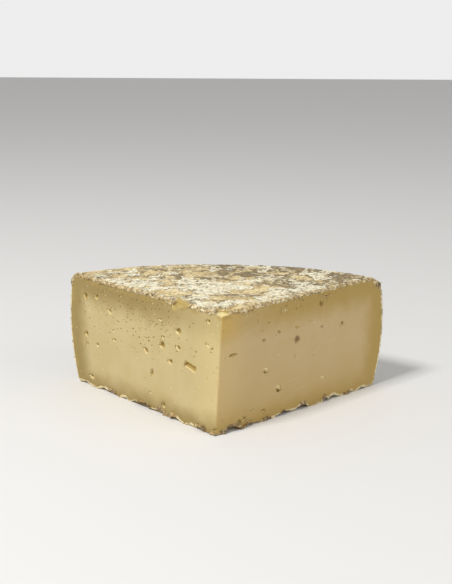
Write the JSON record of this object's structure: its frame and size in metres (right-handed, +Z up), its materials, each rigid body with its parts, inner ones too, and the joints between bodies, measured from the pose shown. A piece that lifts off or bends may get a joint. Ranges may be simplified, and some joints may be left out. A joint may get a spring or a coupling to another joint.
{
  "type": "quarter wheel of pressed mountain cheese",
  "caption": "Quarter wheel of semi-hard pressed cheese with a grey mould rind and two flat cut faces.",
  "frame": {"origin": "on the base, under the middle of the bounding box", "axes": "+Z up from the base; the sharp corner where the two cuts meet points to -Y, and the round rim to +Y"},
  "size_m": [0.1428, 0.101, 0.051],
  "materials": {
    "paste": "satin, slightly waxy ivory-yellow cheese paste",
    "rind": "dry, crusty, mottled grey, white and ochre mould rind"
  },
  "bodies": {
    "root": {"cheese": "paste"}
  },
  "joints": []
}
